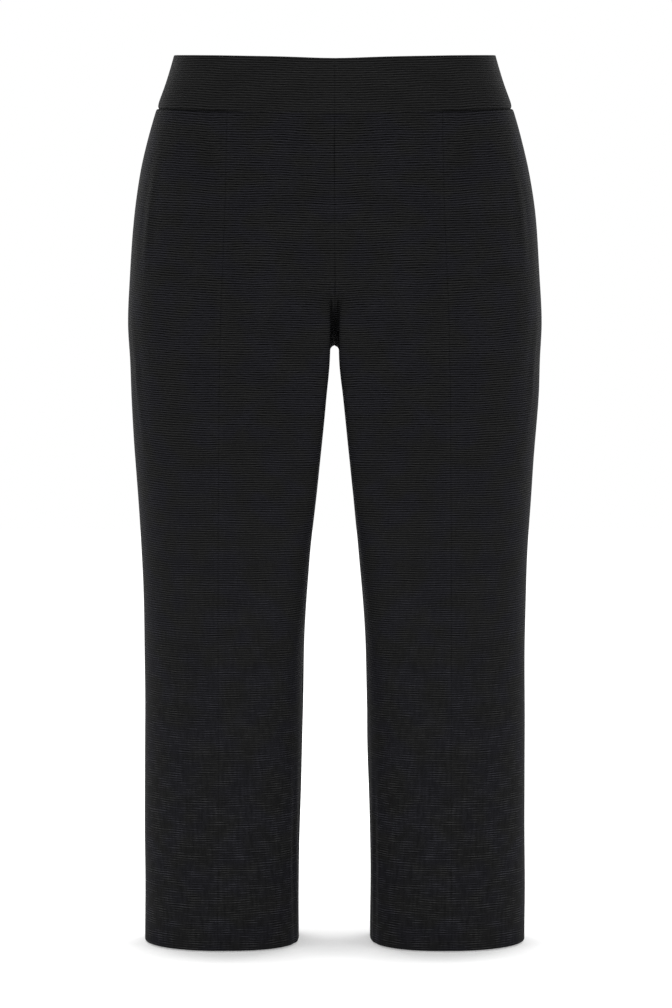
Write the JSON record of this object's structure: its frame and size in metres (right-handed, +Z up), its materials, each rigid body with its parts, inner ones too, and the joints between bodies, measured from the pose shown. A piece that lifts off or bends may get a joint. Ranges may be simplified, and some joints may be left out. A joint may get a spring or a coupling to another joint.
{
  "type": "pull-on trousers",
  "caption": "Straight-leg pull-on trousers with a wide plain waistband, front leg seams, and open waist and hems.",
  "frame": {"origin": "middle of the waist opening, level with the waistband's top edge at the sides", "axes": "+Z up out of the waist, -Y to the front, +X to the wearer's left"},
  "size_m": [0.4384, 0.276, 0.9509],
  "materials": {
    "leg_cloth": "black stretch cloth with fine level ribs, matt with a slight sheen",
    "waistband_cloth": "the same ribbed black stretch cloth, folded double over elastic"
  },
  "bodies": {
    "root": {"waistband_front_left": "waistband_cloth", "waistband_front_right": "waistband_cloth", "waistband_back": "waistband_cloth", "front_centre_left": "leg_cloth", "front_centre_right": "leg_cloth", "front_side_left": "leg_cloth", "front_side_right": "leg_cloth", "back_left": "leg_cloth", "back_right": "leg_cloth"}
  },
  "joints": []
}
